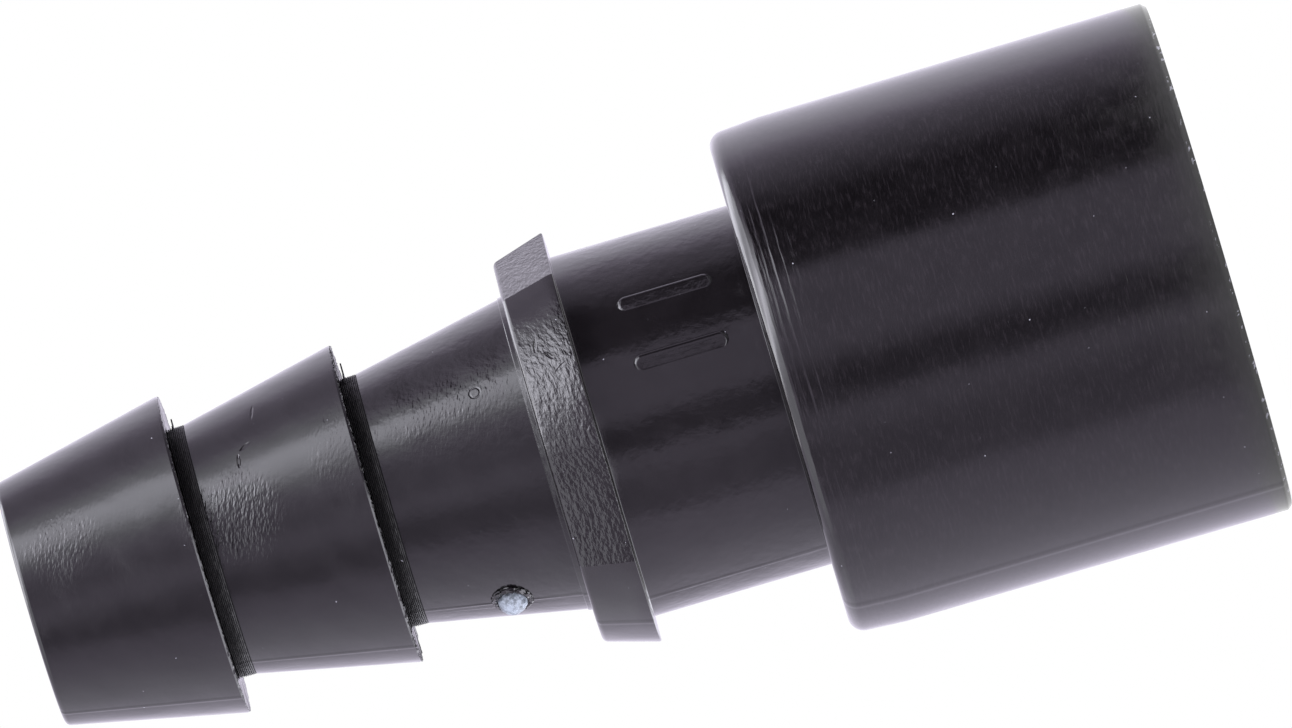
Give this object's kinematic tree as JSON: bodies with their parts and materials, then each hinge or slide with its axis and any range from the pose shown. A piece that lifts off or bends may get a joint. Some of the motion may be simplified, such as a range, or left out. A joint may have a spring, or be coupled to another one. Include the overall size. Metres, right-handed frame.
{
  "type": "barbed hose tail to plain socket connector",
  "caption": "Straight moulded connector: a barbed hose tail and a flatted collar above a neck and a plain slip socket for a pipe end.",
  "frame": {"origin": "centre of the socket's rim, the face that the connector stands on", "axes": "+Z along the axis from the socket's rim to the tip of the tail; the mould's parting line is in the XZ plane and the gate mark is on +X"},
  "size_m": [0.032, 0.032, 0.0749],
  "materials": {
    "black_plastic": "black, semi-gloss as moulded, with a rough stipple round part of the collar"
  },
  "bodies": {
    "root": {"hose_connector": "black_plastic"}
  },
  "joints": []
}
